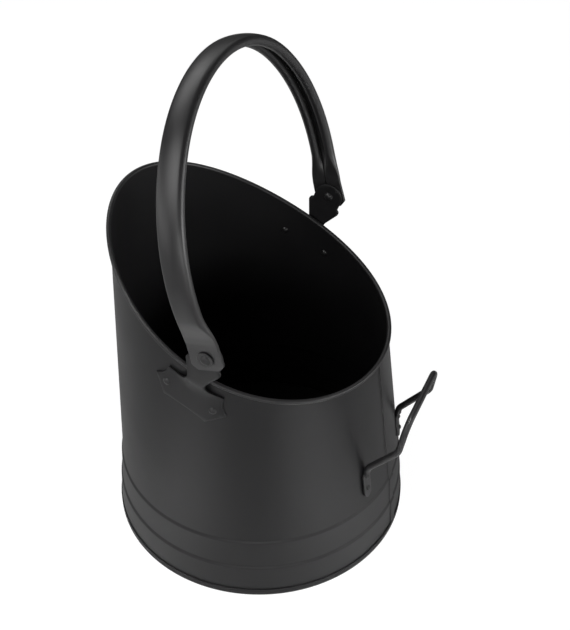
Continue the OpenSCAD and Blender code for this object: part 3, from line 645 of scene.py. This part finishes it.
def hollowArc(a, b, r, n):
    # from a to b, hollowed towards the left of the way
    way = sub(b, a)
    half = sqrt(dot(way, way)) / 2
    c = add(scaled(add(a, b), 0.5), scaled(unit([way[1], -way[0]]), sqrt(r * r - half * half)))
    start, end = (degrees(atan2(p[1] - c[1], p[0] - c[0])) for p in (a, b))
    if end - start > 180:
        end -= 360
    if start - end > 180:
        end += 360
    return arcPoints(c, r, start, end, n)


def earOutline():
    heel, tip = [ear["footW"] / 2, -ear["heelDrop"]], [ear["wingW"] / 2, ear["tipH"]]
    cusp = [ear["cuspW"] / 2, ear["wingTop"]]
    waist = [ear["waistW"] / 2, ear["wingTop"] + ear["scoopR"]]
    footR = (heel[0] ** 2 + ear["footSag"] ** 2) / (2 * ear["footSag"])
    footTurn = degrees(asin(heel[0] / footR))
    right = arcPoints([0, heel[1] + ear["footSag"] - footR], footR, 90, 90 - footTurn, 10)
    right += [add(heel, scaled(sub(tip, heel), f)) for f in (0.2, 0.4, 0.6, 0.8)]
    right += hollowArc(tip, cusp, ear["hollowR"], 8)
    scoop = [waist[0] + ear["scoopR"], waist[1]]
    right += [[scoop[0] + (cusp[0] - scoop[0]) * f, cusp[1]] for f in (0.75, 0.5, 0.25)]
    right += arcPoints(scoop, ear["scoopR"], -90, -180, 12)
    # the neck flares in a straight line to a rounded shoulder, then the head stands on it
    lobe = [ear["shoulderW"] / 2 - ear["lobeR"], ear["shoulderV"]]
    right += [add(waist, c) for c in ear["waistCurve"]]
    right += arcPoints(lobe, ear["lobeR"], -ear["flare"], ear["lobeEnd"], 12)
    neck = lobe[1] + ear["lobeR"]
    right += [[ear["headR"], neck + ear["neckRise"]], [ear["headR"], (neck + earLen) / 2]]
    right += arcPoints([0, earLen], ear["headR"], 0, 90, 16)
    return right + [[-u, v] for u, v in reversed(right[1:-1])]


def earPoint(u, v, off):
    y, z = add(earFoot, scaled(earAcross, u), scaled(earAxis, v))
    # the plate leaves the wall early in its middle and late at its cusps
    start = ear["wingTop"] - ear["rampStart"] + ear["rampFan"] * smooth(abs(u) / ear["fanReach"])
    w = smooth((v - start) / (ear["drop"] - ear["rampEnd"] - start))
    onWall = wallX(y, z, gap + off) if w < 1 else 0
    return [onWall * (1 - w) + (tabX + off) * w, y, z]


def insetLoop(loop, d):
    # a loop that runs anticlockwise, moved d inwards
    n, out = len(loop), []
    for i in range(n):
        a, b = unit(sub(loop[i], loop[i - 1])), unit(sub(loop[(i + 1) % n], loop[i]))
        side = unit(add([-a[1], a[0]], [-b[1], b[0]]))
        k = max(0.6, dot(side, [-a[1], a[0]]))
        out.append(add(loop[i], scaled(side, d / k)))
    return out


def reachTo(p, a, b):
    way = sub(b, a)
    f = min(1.0, max(0.0, dot(sub(p, a), way) / dot(way, way)))
    gone = sub(p, add(a, scaled(way, f)))
    return sqrt(dot(gone, gone))


def insideLoop(p, loop):
    inside = False
    for a, b in zip(loop, loop[1:] + loop[:1]):
        if (a[1] > p[1]) != (b[1] > p[1]) and p[0] < (b[0] - a[0]) * (p[1] - a[1]) / (b[1] - a[1]) + a[0]:
            inside = not inside
    return inside


def bandFaces(points, rings):
    faces = []
    for a, b in zip(rings, rings[1:]):
        faces += bands(len(a), 1, len(points))
        points += a + b
    return faces


def plateMesh(name, outline, holes, place):
    # a flat cut plate with holes, laid on the surface that "place" gives, with soft edges
    thick, bevel, cell = ear["t"], ear["bevel"], ear["cell"]
    inset = insetLoop(outline, bevel)
    turns = around(ear["holeSides"], 2 * pi)
    bores = [[[c[0] + r * cos(t), c[1] + r * sin(t)] for t in turns] for c, r in holes]
    flat, edges = [], []
    for loop in [inset] + bores:
        edges += [(len(flat) + i, len(flat) + j) for i, j in ring(len(loop))]
        flat += loop
    lows, highs = [min(p[k] for p in outline) for k in (0, 1)], [max(p[k] for p in outline) for k in (0, 1)]
    u = lows[0] + cell / 2
    while u < highs[0]:
        v = lows[1] + cell / 2
        while v < highs[1]:
            if all(reachTo([u, v], flat[a], flat[b]) > cell * 0.45 for a, b in edges):
                flat.append([u, v])
            v += cell
        u += cell
    verts, _, tris, *_ = delaunay_2d_cdt([Vector(p) for p in flat], edges, [], 1, 1e-5)
    keep = []
    for t in tris:
        c = scaled(add(*[list(verts[i]) for i in t]), 1 / 3)
        if all(sqrt((c[0] - h[0]) ** 2 + (c[1] - h[1]) ** 2) > r for h, r in holes) and insideLoop(c, inset):
            keep.append(t)

    def level(loop, off):
        return [place(*p, off) for p in loop]

    points = level(verts, 0) + level(verts, thick)
    faces = [[i + len(verts) for i in t] for t in keep] + [list(reversed(t)) for t in keep]
    faces += bandFaces(points, [level(inset, 0), level(outline, bevel), level(outline, thick - bevel),
                                level(inset, thick)])
    for loop in bores:
        faces += bandFaces(points, [level(loop, thick), level(loop, 0)])
    mesh = meshFrom(name, points, faces)
    outward(mesh)
    work = bmesh.new()
    work.from_mesh(mesh)
    bmesh.ops.delete(work, geom=[v for v in work.verts if not v.link_faces], context="VERTS")
    work.to_mesh(mesh)
    work.free()
    return mesh


def buildEars():
    holes = [((side * ear["pitch"] / 2, 0), rivets["earShank"] / 2 + gap) for side in (-1, 1)]
    holes.append(((0, earLen), rivets["pivotShank"] / 2 + gap))
    for side, name in ((-1, "Left"), (1, "Right")):
        def place(u, v, off):
            x, y, z = earPoint(u, v, off)
            return [side * x, y, z]

        mesh = plateMesh("ear" + name, earOutline(), holes, place)
        finishPiece("ear" + name, mesh, "bucket", ["ear_" + name.lower()], [coatOf["ear"]], 50)


# Rivets and washers
rivets = {"earShank": 5, "earHead": 6.8, "headHeight": 1.8, "pivotShank": 6, "pivotHead": 8.6,
          "pivotHeadHeight": 2.2, "washer": 14, "washerT": 1.2, "padShank": 3.4, "padHead": 4.8,
          "swing": 0.3, "fillet": 0.25, "skirt": 0.06, "sides": 40, "washerSides": 64}


def domeProfile(r, h, z, way):
    # from the middle out to the seat, the edge rounded where the coat pools
    ball = (r * r + h * h) / (2 * h)
    arc = [[ball * sin(radians(t)), z + way * (h - ball + ball * cos(radians(t)))]
           for t in steps(0, degrees(asin(r / ball)), 12)]
    return arc[:-1] + [[r, z + way * rivets["skirt"]]]


def rivetMesh(name, shankR, headR, headH, low, high):
    up = domeProfile(headR, headH, high, 1)
    down = domeProfile(headR, headH, low, -1)
    profile = up + [[headR, high], [shankR, high], [shankR, low], [headR, low]] + list(reversed(down))
    return spunMesh(name, profile, rivets["sides"])


def standRivets(name, shape, places, nodes):
    # places are (point, outward) pairs; each is mirrored to the left side too
    both = [([side * p[0], p[1], p[2]], [side * f[0], f[1], f[2]]) for p, f in places for side in (-1, 1)]
    rivet = addObject(name + "Shape", shape)
    holder = helperObject(name + "Places", [p for p, _ in both], [], [f for _, f in both])
    mesh = grownMesh(holder, rivetTree, {"Rivet": rivet, "Material": coatOf["rivet"]}, rivet)
    finishPiece(name, mesh, "bucket", nodes, [coatOf["rivet"]], 40)


def buildRivets():
    earPlaces = []
    for end in (-1, 1):
        y, z = add(earFoot, scaled(earAcross, end * ear["pitch"] / 2))
        earPlaces.append((wallAngle(y, z), toLeaned([0, y, z])[2]))
    angle = 90 - handle["padAngle"]
    padPlaces = [(angle, leanedHeight(angle, handle["rivetZ"] + e * handle["rivetPitch"])) for e in (0, 1)]
    # each row: its name, the rivet's shank and head, the thickness it holds, its places and their CAD words
    for name, shank, head, held, places, words in (
            ("ear", rivets["earShank"], rivets["earHead"], ear["t"], earPlaces, ("front", "rear")),
            ("handle", rivets["padShank"], rivets["padHead"], handle["padT"], padPlaces, ("upper", "lower"))):
        hollow = (head / 2) ** 2 / wallR
        shape = rivetMesh(name + "RivetShape", shank / 2, head / 2, rivets["headHeight"],
                          -sheet - gap - hollow, 2 * gap + held)
        standRivets(name + "Rivets", shape, [(wallPoint(a, h), wallNormal(a)) for a, h in places],
                    [name + "_rivet_" + s + "_" + e for s in ("left", "right") for e in words])
    grip = ear["t"] + bail["endT"] + 2 * rivets["swing"] + rivets["washerT"]
    shape = rivetMesh("pivotRivetShape", rivets["pivotShank"] / 2, rivets["pivotHead"] / 2,
                      rivets["pivotHeadHeight"], 0, grip)
    standRivets("pivotRivets", shape, [([tabX, *pivot], [1, 0, 0])],
                ["pivot_rivet_left", "pivot_rivet_right"])
    w, r, t, b = rivets["washer"] / 2, rivets["pivotShank"] / 2 + gap, rivets["washerT"], rivets["fillet"]
    profile = [[r, 0], [w - b, 0], [w, b], [w, t - b], [w - b, t], [r, t], [r, 0]]
    shape = spunMesh("pivotWasherShape", profile, rivets["washerSides"])
    standRivets("pivotWashers", shape, [([tabX + grip - t, *pivot], [1, 0, 0])],
                ["pivot_washer_left", "pivot_washer_right"])


# Bail: a strip with both edges rolled into tubes, its ends crushed flat; bendS and crushS are along the leg
bail = {"lean": 13.8, "w": 22.8, "tubeR": 4.5, "crown": 0.9, "sheet": 1.2, "grooveHalf": 4.56,
        "tuckEnd": 328.7, "endW": 29, "neckW": 26.6, "endT": 3, "tail": 11, "corner": 5, "edge": 0.7,
        "edgePower": 0.7, "slit": 1.5, "tailThin": 0.72, "tailNarrow": 0.985, "bendS": 14, "bendR": 18,
        "crushS": 30.5, "rollFrom": 19, "rollLen": 24, "splay": 8, "sideR": 152, "shoulder": 43.5,
        "boreReach": 160, "boreSides": 48}


def tubeSection():
    # half of the rolled strip's outline as (out, across): crown, round the tube, and into the groove
    tubeY, crownH = bail["w"] / 2 - bail["tubeR"], bail["tubeR"] + bail["crown"]
    crownR = (tubeY ** 2 + crownH ** 2 - bail["tubeR"] ** 2) / (2 * bail["crown"])
    meet = degrees(asin(tubeY / (crownR - bail["tubeR"])))
    centre = [crownH - crownR, 0]
    pts = arcPoints(centre, crownR, 0, meet, 8)
    for start, end, n in ((meet, 90, 8), (90, 165, 8), (165, 270, 10), (270, bail["tuckEnd"], 6)):
        pts += arcPoints([0, tubeY], bail["tubeR"], start, end, n)[1:]
    r = crownR - bail["sheet"]
    return pts + arcPoints(centre, r, degrees(asin(bail["grooveHalf"] / r)), 0, 4)[1:]


def flatSection(w):
    # half of the crushed end's outline, point for point with the rolled strip's
    t, e, slit, power = bail["endT"], bail["edge"], bail["slit"] / 2, bail["edgePower"]
    pts = [[0, a] for a in steps(0, w - e, 8)]
    pts += [[-t / 2 * (1 - cos(radians(a)) ** power), w - e + e * sin(radians(a)) ** power]
            for a in steps(0, 90, 8)[1:]]
    pts += [[-t + t / 2 * (1 - sin(radians(a)) ** power), w - e + e * max(0, cos(radians(a))) ** power]
            for a in steps(0, 90, 8)[1:]]
    pts += [[-t, a] for a in steps(w - e, slit, 10)[1:]]
    pts += [[-t + t / 2 * f, slit] for f in steps(0, 1, 6)[1:]]
    return pts + [[-t / 2, a] for a in steps(slit, 0, 4)[1:]]


def bailStations():
    # right end to the top's middle: place, outward direction, crushed section, how far it is rolled
    outX, splay = tabX + ear["t"] + rivets["swing"] + bail["endT"], radians(bail["splay"])
    up, out = [sin(splay), cos(splay)], [cos(splay), -sin(splay)]
    legEnd = add([outX - bail["endT"], bail["bendS"]], scaled(up, bail["crushS"] - bail["bendS"]),
                 scaled(out, bail["endT"]))
    centre = sub(legEnd, scaled(out, bail["sideR"]))
    tail, cut = -bail["tail"], bail["corner"] - bail["tail"]

    def crushed(v):
        # cut corners, then a slow taper up to the neck
        if v < cut:
            return flatSection(bail["endW"] / 2 - (cut - v))
        taper = (bail["neckW"] - bail["endW"]) / 2
        return flatSection(bail["endW"] / 2 + taper * (v - cut) / (bail["crushS"] - cut))

    def rolled(s):
        return smooth((s - bail["rollFrom"]) / bail["rollLen"])

    heights = [tail, tail + 0.25, tail + 0.5, tail + 1.5, tail + 3, cut - 0.3, cut + 0.3, -3, 0, 4, 8, 11]
    stations = [([outX, v], [1, 0], crushed(v), 0.0) for v in heights]
    start = bail["bendS"] - bail["bendR"] * tan(splay / 2)
    for a in steps(0, splay, 8):
        v = start + bail["bendR"] * sin(a)
        stations.append(([outX + bail["bendR"] * (1 - cos(a)), v], [cos(a), -sin(a)], crushed(v), 0.0))
    for s in steps(bail["bendS"] + 3, bail["crushS"] - 0.5, 18):
        p = add(legEnd, scaled(up, s - bail["crushS"]))
        stations.append((p, out, crushed(p[1]), rolled(s)))
    neck = flatSection(bail["neckW"] / 2)
    near = degrees((bail["rollFrom"] + bail["rollLen"] - bail["crushS"]) / bail["sideR"])
    for a in steps(0, near, 8) + steps(near, bail["splay"] + bail["shoulder"], 46)[1:]:
        e = radians(a - bail["splay"])
        stations.append((add(centre, scaled([cos(e), sin(e)], bail["sideR"])), [cos(e), sin(e)], neck,
                         rolled(bail["crushS"] + radians(a) * bail["sideR"])))
    turned = radians(bail["shoulder"])
    shoulder = add(centre, scaled([cos(turned), sin(turned)], bail["sideR"]))
    topR = shoulder[0] / cos(turned)
    for a in steps(bail["shoulder"], 90, 40)[1:]:
        e = radians(a)
        height = shoulder[1] + topR * (sin(e) - sin(turned))
        stations.append(([topR * cos(e), height], [cos(e), sin(e)], neck, 1.0))
    return stations


def buildBail():
    tube, leanS, leanC = tubeSection(), sin(radians(bail["lean"])), cos(radians(bail["lean"]))
    middle = bail["endT"] / 2
    rings = []
    for (x, s), out, crushed, rolled in bailStations():
        half = [add(scaled(a, 1 - rolled), scaled(b, rolled)) for a, b in zip(crushed, tube)]
        if not rings:
            # the very end is a little smaller, so its cut edge is soft
            half = [[-middle + (a + middle) * bail["tailThin"], b * bail["tailNarrow"]] for a, b in half]
        spot = []
        for a, b in half + [[a, -b] for a, b in reversed(half[1:-1])]:
            along = s + a * out[1]
            spot.append([x + a * out[0], pivot[0] + b * leanC - along * leanS,
                         pivot[1] + b * leanS + along * leanC])
        rings.append(spot)
    for p in rings[-1]:
        p[0] = 0.0
    holder = addObject("bailBlank", halfLoft("bail", rings))
    r, reach = rivets["pivotShank"] / 2 + gap, bail["boreReach"]
    bore = spunMesh("bailBore", [[0, -reach], [r, -reach], [r, reach], [0, reach]], bail["boreSides"])
    for v in bore.vertices:
        v.co = Vector((v.co.z, v.co.x + pivot[0] * mm, v.co.y + pivot[1] * mm))
    outward(bore)
    cutter = addObject("bailBore", bore)
    cut = holder.modifiers.new("bore", "BOOLEAN")
    cut.operation, cut.solver, cut.object = "DIFFERENCE", "EXACT", cutter
    finishPiece("bailStrip", takeMesh(holder, cutter), "bail", ["bail"], [coatOf["bail"]], 42)


# Tipping handle: one rod, bent three times on each side, its ends flattened into pads
handle = {"rod": 6, "gripW": 76.8, "gripZ": 175.8, "gripGap": 33.8, "gripBend": 11, "kneeW": 86.8,
          "kneeZ": 145.4, "kneeGap": 25.2, "kneeBend": 9, "legBend": 8, "elbowRise": 10, "padAngle": 18.3,
          "padW": 10, "padT": 2.8, "padFlat": 2.3, "padPower": 0.34, "tipHalf": 0.9, "tipThin": 0.75,
          "rivetZ": 88.2, "rivetPitch": 13.6, "sides": 28}


def behindWall(x, off, z):
    return [x, wallPoint(90, leanedHeight(90, z), handle["rod"] / 2 + gap)[1] + off, z]


def rodSection(w, t, power):
    # round at power 1, and nearer to a rectangle as the power falls
    spots = []
    for a in around(handle["sides"], 2 * pi):
        c, s = cos(a), sin(a)
        spots.append([w * abs(c) ** power * (1 if c >= 0 else -1),
                      t * abs(s) ** power * (1 if s >= 0 else -1)])
    return spots


def buildHandle():
    r = handle["rod"] / 2
    angle = 90 - handle["padAngle"]
    up, normal = wallUp(angle), wallNormal(angle)
    side = unit(crossed([0, 0, 1], up))
    z1 = handle["rivetZ"]
    foot = wallPoint(angle, leanedHeight(angle, z1))
    elbow = wallPoint(angle, leanedHeight(angle, z1 + handle["rivetPitch"] + handle["elbowRise"]), r + gap)
    knee = behindWall(handle["kneeW"] / 2, handle["kneeGap"], handle["kneeZ"])
    corner = behindWall(handle["gripW"] / 2, handle["gripGap"], handle["gripZ"])
    corners = [(elbow, handle["legBend"] + r), (knee, handle["kneeBend"] + r),
               (corner, handle["gripBend"] + r)]
    ways = [up, unit(sub(knee, elbow)), unit(sub(corner, knee)), [-1, 0, 0]]
    line = []
    for (at, bendR), a, b in zip(corners, ways, ways[1:]):
        turn = acos(dot(a, b))
        start = sub(at, scaled(a, bendR * tan(turn / 2)))
        inward = unit(sub(b, scaled(a, dot(a, b))))
        for t in steps(0, turn, 12):
            p = add(start, scaled(a, bendR * sin(t)), scaled(inward, bendR * (1 - cos(t))))
            line.append((p, add(scaled(a, cos(t)), scaled(inward, sin(t)))))
    line.append(([0, corner[1], corner[2]], [-1, 0, 0]))

    def padRing(s, lift, w, t, power):
        return [add(foot, scaled(up, s), scaled(normal, lift + q), scaled(side, p))
                for p, q in rodSection(w, t, power)]

    rings = []
    padEnd, padW, padT = -handle["padW"], handle["padW"] / 2, handle["padT"] / 2
    flatTop = handle["rivetPitch"] + handle["padFlat"]
    bendStart = dot(sub(line[0][0], foot), up)
    tip = [padEnd + padW * (1 - cos(radians(t))) for t in steps(0, 90, 10)]
    for s in tip + [0, 5, handle["rivetPitch"], flatTop]:
        w = padW * sqrt(max(0.0, 1 - ((padEnd + padW - s) / padW) ** 2)) if s < padEnd + padW else padW
        thin = handle["tipThin"] if s == padEnd else 1.0
        rings.append(padRing(s, gap + padT, max(w, handle["tipHalf"]), padT * thin, handle["padPower"]))
    for f in steps(0, 1, 8)[1:]:
        k = smooth(f)
        w, t = padW + (r - padW) * k, padT + (r - padT) * k
        rings.append(padRing(flatTop + (bendStart - flatTop) * f, gap + t, w, t,
                             handle["padPower"] + (1 - handle["padPower"]) * k))
    ex = side
    for p, way in line[1:]:
        ex = unit(sub(ex, scaled(way, dot(ex, way))))
        ey = crossed(way, ex)
        rings.append([add(p, scaled(ex, u), scaled(ey, v)) for u, v in rodSection(r, r, 1.0)])
    for p in rings[-1]:
        p[0] = 0.0
    mesh = halfLoft("tippingHandle", rings)
    finishPiece("tippingHandle", mesh, "bucket", ["tipping_handle"], [coatOf["rod"]], 45)


for build in (buildWall, buildRim, buildPan, buildEars, buildRivets, buildBail, buildHandle):
    build()

# Floor, light and camera
studio = {"floorSide": 8.0, "floorTone": 0.8, "floorRoughness": 0.9, "floorShine": 0.1, "glow": 1.08,
          "glowShare": 0.9, "world": 0.08}


def buildStudio():
    side = studio["floorSide"] / 2
    mesh = bpy.data.meshes.new("studioFloor")
    corners = [(-side, -side, 0), (side, -side, 0), (side, side, 0), (-side, side, 0)]
    mesh.from_pydata(corners, [], [(0, 1, 2, 3)])
    addObject("studioFloor", mesh)
    paper = bpy.data.materials.new("studioPaper")
    paper.use_nodes = True
    tree = paper.node_tree
    shader = tree.nodes["Principled BSDF"]
    shader.inputs["Base Color"].default_value = (studio["floorTone"],) * 3 + (1,)
    shader.inputs["Roughness"].default_value = studio["floorRoughness"]
    shader.inputs["Specular IOR Level"].default_value = studio["floorShine"]
    # lit from beneath for the camera alone, so the page stays white while the coat mirrors the real paper
    glow = tree.nodes.new("ShaderNodeEmission")
    glow.inputs["Strength"].default_value = studio["glow"]
    seen = tree.nodes.new("ShaderNodeLightPath").outputs["Is Camera Ray"]
    mixed = tree.nodes.new("ShaderNodeMixShader")
    feed(tree, mixed.inputs[0], mathNode(tree, "MULTIPLY", seen, studio["glowShare"]))
    feed(tree, mixed.inputs[1], shader.outputs[0])
    feed(tree, mixed.inputs[2], glow.outputs[0])
    feed(tree, tree.nodes["Material Output"].inputs["Surface"], mixed.outputs[0])
    mesh.materials.append(paper)
    # the room is dim for the coat to mirror, and reads as white paper to the camera
    world = bpy.data.worlds.new("studioWorld")
    world.use_nodes = True
    tree = world.node_tree
    room = tree.nodes["Background"].inputs
    room["Color"].default_value = (1, 1, 1, 1)
    seen = tree.nodes.new("ShaderNodeLightPath").outputs["Is Camera Ray"]
    strength = mathNode(tree, "MULTIPLY_ADD", seen, studio["glow"] - studio["world"], studio["world"])
    feed(tree, room["Strength"], strength)
    scene.world = world


def towards(azimuth, elevation):
    a, e = radians(azimuth), radians(elevation)
    return Vector((cos(e) * cos(a), cos(e) * sin(a), sin(e)))


def softLight(name, azimuth, elevation, target, size, power, distance=1.9, spread=180):
    data = bpy.data.lights.new(name, "AREA")
    data.shape = "RECTANGLE"
    data.size, data.size_y = size
    data.energy = power
    data.spread = radians(spread)
    light = addObject(name, data)
    light.location = Vector(target) + distance * towards(azimuth, elevation)
    light.rotation_euler = (Vector(target) - light.location).to_track_quat("-Z", "Y").to_euler()
    light.visible_camera = False


# The coat mirrors leftBox, rightBox and topBox as soft areas. The low boxes stand just over the paper and
# face the swages' slopes. The two pools are narrow gridded boxes overhead that light strips of the paper,
# which the wall mirrors as its two broad highlights. backBox is for the far side.
lights = {
    "leftBox": {"azimuth": -28, "elevation": 38, "distance": 1.3, "target": (0.06, -0.02, 0.43),
                "size": (1.2, 0.8), "power": 1.9, "spread": 70},
    "rightBox": {"azimuth": 92, "elevation": 8, "distance": 1.4, "target": (0, 0, 0.4), "size": (1.0, 0.4),
                 "power": 0.4, "spread": 40},
    "topBox": {"azimuth": -113, "elevation": 46, "distance": 1.5, "target": (0, -0.02, 0.4),
               "size": (1.0, 0.8), "power": 6},
    "frontLow": {"azimuth": 24, "elevation": 12, "target": (0, 0, 0.2), "size": (2.4, 0.5),
                 "power": 13},
    "lowLeft": {"azimuth": -58, "elevation": 9, "target": (0, 0, 0.15), "size": (2.0, 0.5),
                "power": 7},
    "lowRight": {"azimuth": 100, "elevation": 9, "target": (0, 0, 0.15), "size": (2.0, 0.5),
                 "power": 13},
    "leftPool": {"azimuth": -15, "elevation": 86, "distance": 0.9, "target": (0.357, -0.096, 0.0),
                 "size": (0.04, 0.46), "power": 0.26, "spread": 22},
    "rightPool": {"azimuth": 60, "elevation": 86, "distance": 0.9, "target": (0.192, 0.333, 0.0),
                  "size": (0.04, 0.46), "power": 0.41, "spread": 22},
    "backBox": {"azimuth": 200, "elevation": 50, "target": (0, 0, 0.2), "size": (1.4, 1.0),
                "power": 4},
}
camera = {"azimuth": 23.854, "elevation": 39.019, "distance": 948.857, "target": (0, 26.058, 223.845),
          "focal": 1084.881, "longSide": 630, "sensor": 36, "near": 0.05, "far": 50}


def buildCamera():
    data = bpy.data.cameras.new("camera")
    data.sensor_width = camera["sensor"]
    data.lens = camera["focal"] / camera["longSide"] * data.sensor_width
    data.clip_start, data.clip_end = camera["near"], camera["far"]
    back = towards(camera["azimuth"], camera["elevation"])
    seen = addObject("camera", data)
    seen.location = (Vector(camera["target"]) + camera["distance"] * back) * mm
    seen.rotation_euler = (-back).to_track_quat("-Z", "Y").to_euler()
    scene.camera = seen


buildStudio()
for name, values in lights.items():
    softLight(name, **values)
buildCamera()
scene.view_settings.view_transform = "Standard"
print("studio ready")
